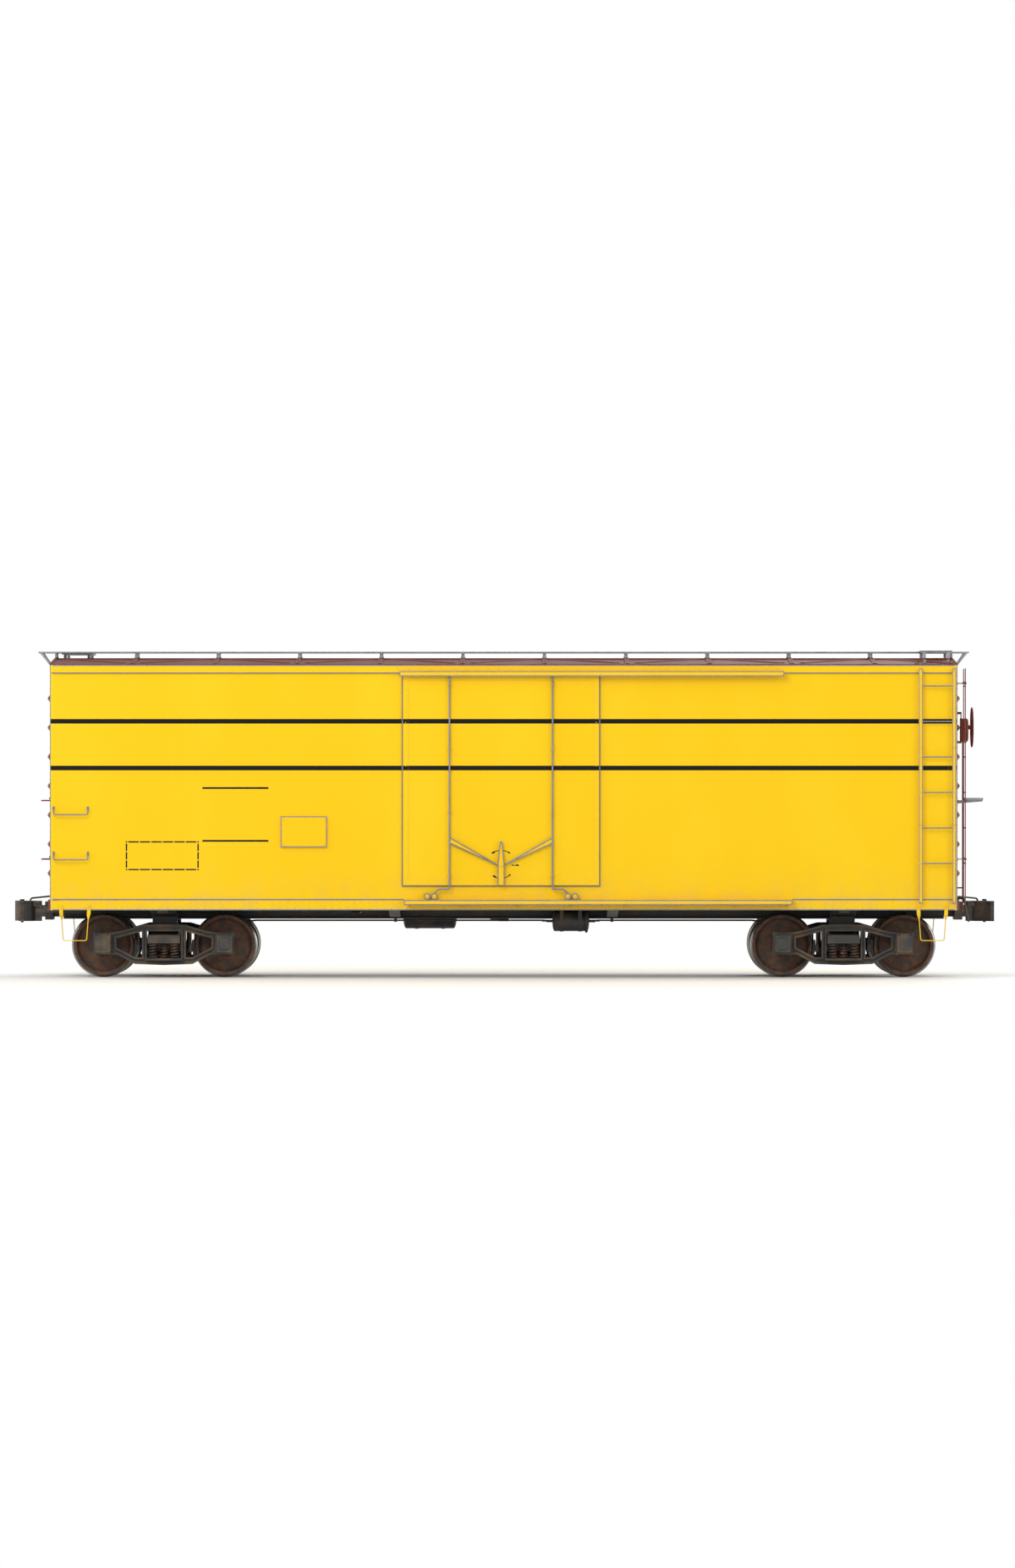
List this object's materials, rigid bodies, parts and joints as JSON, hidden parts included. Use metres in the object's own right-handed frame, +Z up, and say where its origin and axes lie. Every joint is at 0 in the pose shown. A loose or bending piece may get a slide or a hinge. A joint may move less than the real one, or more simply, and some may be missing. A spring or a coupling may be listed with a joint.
{
  "type": "railroad boxcar",
  "caption": "Insulated steel boxcar with a plug door in each side, corrugated ends, roof walk and two four-wheel trucks.",
  "frame": {"origin": "on the floor under the middle of the car, the wheel flanges standing on the floor and the rail top 25.4 mm above it", "axes": "+X along the car towards the end with the hand brake, +Y away from the pictured side, +Z up"},
  "size_m": [13.59, 3.2512, 4.4954],
  "materials": {
    "side_paint": "satin yellow enamel on riveted sheet",
    "end_paint": "satin red oxide enamel on pressed sheet",
    "roof_paint": "matt red oxide car cement",
    "underframe_black": "satin black",
    "truck_black": "cast steel under matt black",
    "wheel_steel": "turned treads, oiled plates",
    "walk_steel": "galvanized grating",
    "floor_wood": "oiled hardwood boards",
    "board_wood": "painted boards"
  },
  "bodies": {
    "carbody": {"a_end_wall": "end_paint", "air_reservoir": "underframe_black", "b_end_wall": "end_paint", "body_bolsters": "underframe_black", "brake_cylinder": "underframe_black", "brake_rods": "underframe_black", "brake_step": "walk_steel", "brake_valve": "underframe_black", "center_sill": "underframe_black", "couplers": "underframe_black", "cross_members": "underframe_black", "cut_levers": "underframe_black", "door_frames": "side_paint", "door_tracks": "side_paint", "end_grab_irons": "end_paint", "end_ladders": "end_paint", "far_door": "side_paint", "far_door_gear": "side_paint", "far_left_wall": "side_paint", "far_right_wall": "side_paint", "floor": "floor_wood", "floor_stringers": "underframe_black", "hand_brake": "end_paint", "knuckles": "underframe_black", "near_door": "side_paint", "near_door_gear": "side_paint", "near_left_wall": "side_paint", "near_right_wall": "side_paint", "roof": "roof_paint", "running_board": "walk_steel", "side_grab_irons": "side_paint", "side_ladders": "side_paint", "side_plates": "side_paint", "side_sills": "side_paint", "sill_steps": "side_paint", "strikers": "underframe_black", "tack_boards": "board_wood", "train_pipe": "underframe_black"},
    "b_truck": {"b_truck_bolster": "truck_black", "b_truck_brake_rigging": "truck_black", "b_truck_side_frames": "truck_black", "b_truck_springs": "truck_black"},
    "b_outer_wheelset": {"b_outer_axle": "wheel_steel", "b_outer_wheels": "wheel_steel"},
    "b_inner_wheelset": {"b_inner_axle": "wheel_steel", "b_inner_wheels": "wheel_steel"},
    "a_truck": {"a_truck_bolster": "truck_black", "a_truck_brake_rigging": "truck_black", "a_truck_side_frames": "truck_black", "a_truck_springs": "truck_black"},
    "a_outer_wheelset": {"a_outer_axle": "wheel_steel", "a_outer_wheels": "wheel_steel"},
    "a_inner_wheelset": {"a_inner_axle": "wheel_steel", "a_inner_wheels": "wheel_steel"}
  },
  "joints": [
    {"name": "b_truck_swivel", "type": "hinge", "parent": "carbody", "child": "b_truck", "pos_m": [4.6736, 0, 0.67945], "axis": [0, 0, 1], "range_deg": [-7, 7]},
    {"name": "b_outer_wheelset_turn", "type": "hinge", "parent": "b_truck", "child": "b_outer_wheelset", "pos_m": [5.5118, 0, 0.4445], "axis": [0, 1, 0], "continuous": true},
    {"name": "b_inner_wheelset_turn", "type": "hinge", "parent": "b_truck", "child": "b_inner_wheelset", "pos_m": [3.8354, 0, 0.4445], "axis": [0, 1, 0], "continuous": true},
    {"name": "a_truck_swivel", "type": "hinge", "parent": "carbody", "child": "a_truck", "pos_m": [-4.6736, 0, 0.67945], "axis": [0, 0, 1], "range_deg": [-7, 7]},
    {"name": "a_outer_wheelset_turn", "type": "hinge", "parent": "a_truck", "child": "a_outer_wheelset", "pos_m": [-5.5118, 0, 0.4445], "axis": [0, 1, 0], "continuous": true},
    {"name": "a_inner_wheelset_turn", "type": "hinge", "parent": "a_truck", "child": "a_inner_wheelset", "pos_m": [-3.8354, 0, 0.4445], "axis": [0, 1, 0], "continuous": true}
  ]
}
